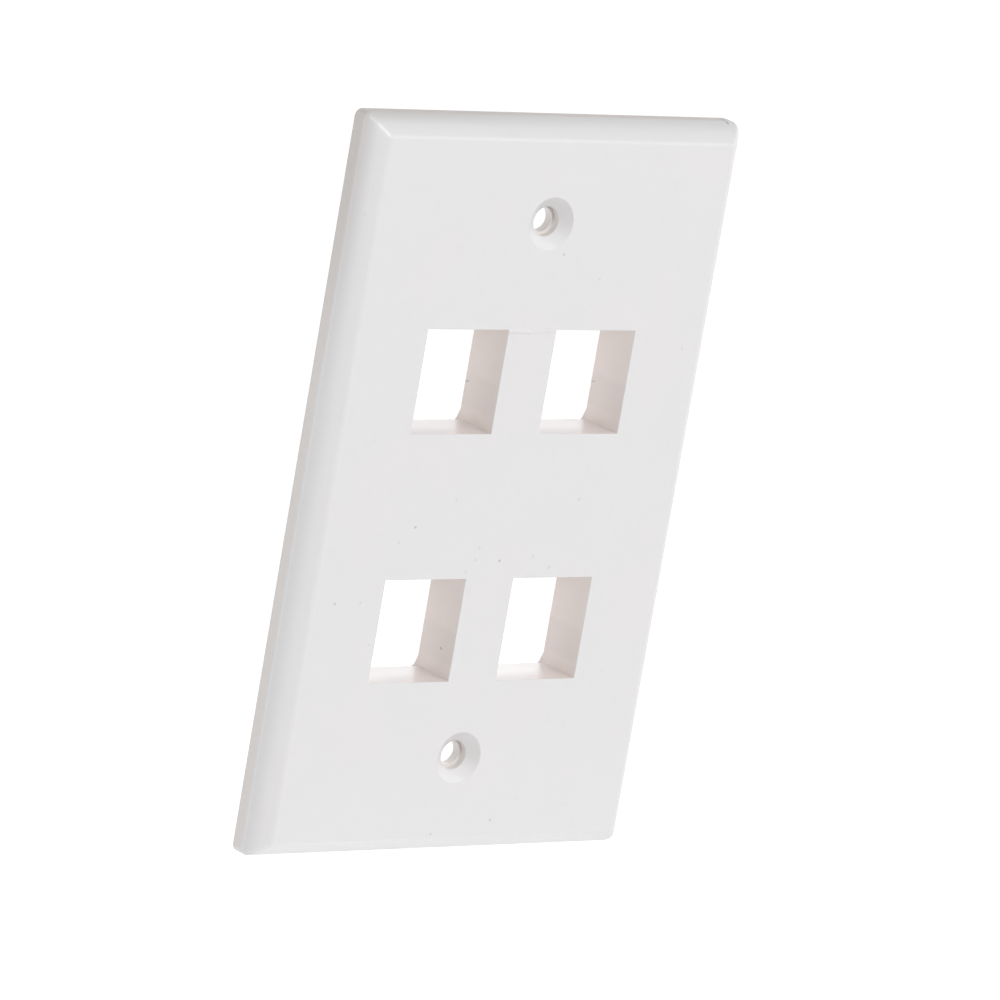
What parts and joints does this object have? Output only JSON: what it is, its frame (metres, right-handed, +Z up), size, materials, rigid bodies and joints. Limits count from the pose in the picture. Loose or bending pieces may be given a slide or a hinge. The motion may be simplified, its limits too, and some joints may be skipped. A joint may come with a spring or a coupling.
{
  "type": "keystone faceplate",
  "caption": "Flat wall plate with a bevelled rim, square keystone jack openings in two rows, and countersunk screw holes at top and bottom.",
  "frame": {"origin": "middle of the plate's outline, on the plane where the back rim meets the wall", "axes": "+Z up the plate, +X to the right seen from the front, the face looks towards -Y and +Y goes into the wall"},
  "size_m": [0.0698, 0.0115, 0.1142],
  "materials": {
    "abs_white": "smooth moulded ABS, soft gloss"
  },
  "bodies": {
    "root": {"faceplate": "abs_white"}
  },
  "joints": []
}
